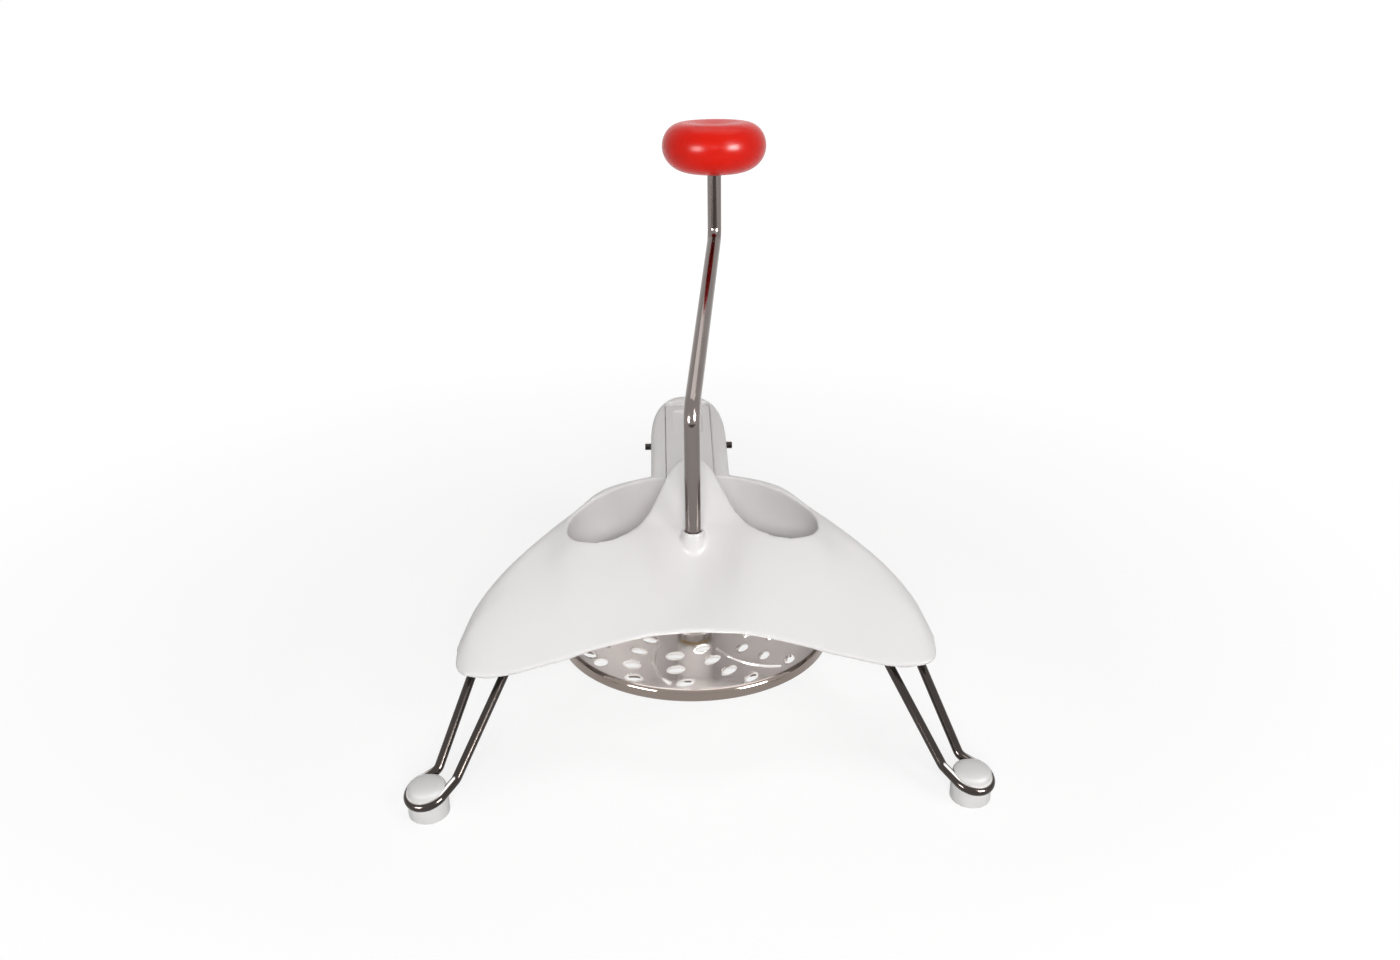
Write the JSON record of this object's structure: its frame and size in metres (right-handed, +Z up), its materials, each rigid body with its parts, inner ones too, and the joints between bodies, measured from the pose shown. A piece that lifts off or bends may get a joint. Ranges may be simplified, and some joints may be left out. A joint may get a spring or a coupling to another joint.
{
  "type": "julienne slicer",
  "caption": "Hand-cranked julienne slicer: winged body with crescent hopper, presser lever in a rear handle, bent crank and knob over a toothed disc, on folding wire legs.",
  "frame": {"origin": "middle of the plan box, on the plane that the three feet stand on", "axes": "+Z up along the crank shaft, +Y to the rear along the handle, +X to the user's right as seen from the front"},
  "size_m": [0.2368, 0.244, 0.2447],
  "materials": {
    "body_plastic": "smooth semi-gloss white",
    "lever_plastic": "smooth semi-gloss white",
    "knob_red": "high-gloss red",
    "wire_steel": "polished stainless",
    "disc_steel": "mirror-polished stainless",
    "foot_rubber": "satin white",
    "bush_plastic": "plain light grey",
    "washer_brass": "plain"
  },
  "bodies": {
    "body": {"housing": "body_plastic", "shaft_bush": "bush_plastic", "thrust_washer": "washer_brass", "lever_pin": "wire_steel"},
    "presser": {"presser_lever": "lever_plastic", "pusher_block": "lever_plastic", "pusher_screw_left": "wire_steel", "pusher_screw_right": "wire_steel"},
    "crank": {"crank_rod": "wire_steel", "drive_pin": "wire_steel", "knob_clip": "wire_steel", "disc_hub": "disc_steel", "hub_rivet_1": "wire_steel", "hub_rivet_2": "wire_steel", "hub_rivet_3": "wire_steel", "cutting_disc": "disc_steel"},
    "knob": {"knob_body": "knob_red", "knob_cap": "knob_red"},
    "left_leg": {"front_left_leg": "wire_steel", "front_left_foot": "foot_rubber"},
    "right_leg": {"front_right_leg": "wire_steel", "front_right_foot": "foot_rubber"},
    "back_leg": {"rear_leg": "wire_steel", "rear_foot": "foot_rubber"}
  },
  "joints": [
    {"name": "crank_turn", "type": "hinge", "parent": "body", "child": "crank", "pos_m": [0, -0.02661, 0.08], "axis": [0, 0, 1], "continuous": true},
    {"name": "knob_spin", "type": "hinge", "parent": "crank", "child": "knob", "pos_m": [0.0155, 0.09611, 0.23], "axis": [0, 0, 1], "continuous": true},
    {"name": "presser_lift", "type": "hinge", "parent": "body", "child": "presser", "pos_m": [0, 0.07989, 0.09609], "axis": [-1, 0, 0], "range_deg": [0, 40]},
    {"name": "front_left_leg_fold", "type": "hinge", "parent": "body", "child": "left_leg", "pos_m": [-0.0815, -0.05961, 0.051], "axis": [1, 0, 0], "range_deg": [0, 85]},
    {"name": "front_right_leg_fold", "type": "hinge", "parent": "body", "child": "right_leg", "pos_m": [0.0815, -0.05961, 0.051], "axis": [1, 0, 0], "range_deg": [0, 85]},
    {"name": "rear_leg_fold", "type": "hinge", "parent": "body", "child": "back_leg", "pos_m": [0, 0.05539, 0.091], "axis": [-1, 0, 0], "range_deg": [0, 40]}
  ]
}
